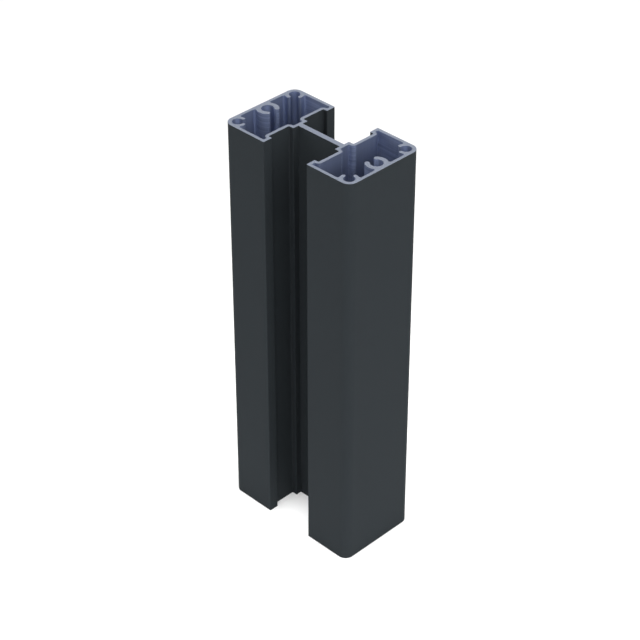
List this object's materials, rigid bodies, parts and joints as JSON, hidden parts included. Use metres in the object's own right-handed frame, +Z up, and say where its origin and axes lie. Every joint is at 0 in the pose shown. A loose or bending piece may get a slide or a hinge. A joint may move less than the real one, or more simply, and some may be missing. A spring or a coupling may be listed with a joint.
{
  "type": "fence post",
  "caption": "Extruded aluminium fence post: hollow boxes on either side of a web, lipped channels that hold fence panels, and screw ports for end caps.",
  "frame": {"origin": "middle of the lower cut end, on the surface the post stands on", "axes": "+Z up the post, X across the hollow boxes and the web, Y from one panel channel to the other"},
  "size_m": [0.074, 0.042, 0.2],
  "materials": {
    "coated_aluminium": "satin"
  },
  "bodies": {
    "root": {"post_profile": "coated_aluminium"}
  },
  "joints": []
}
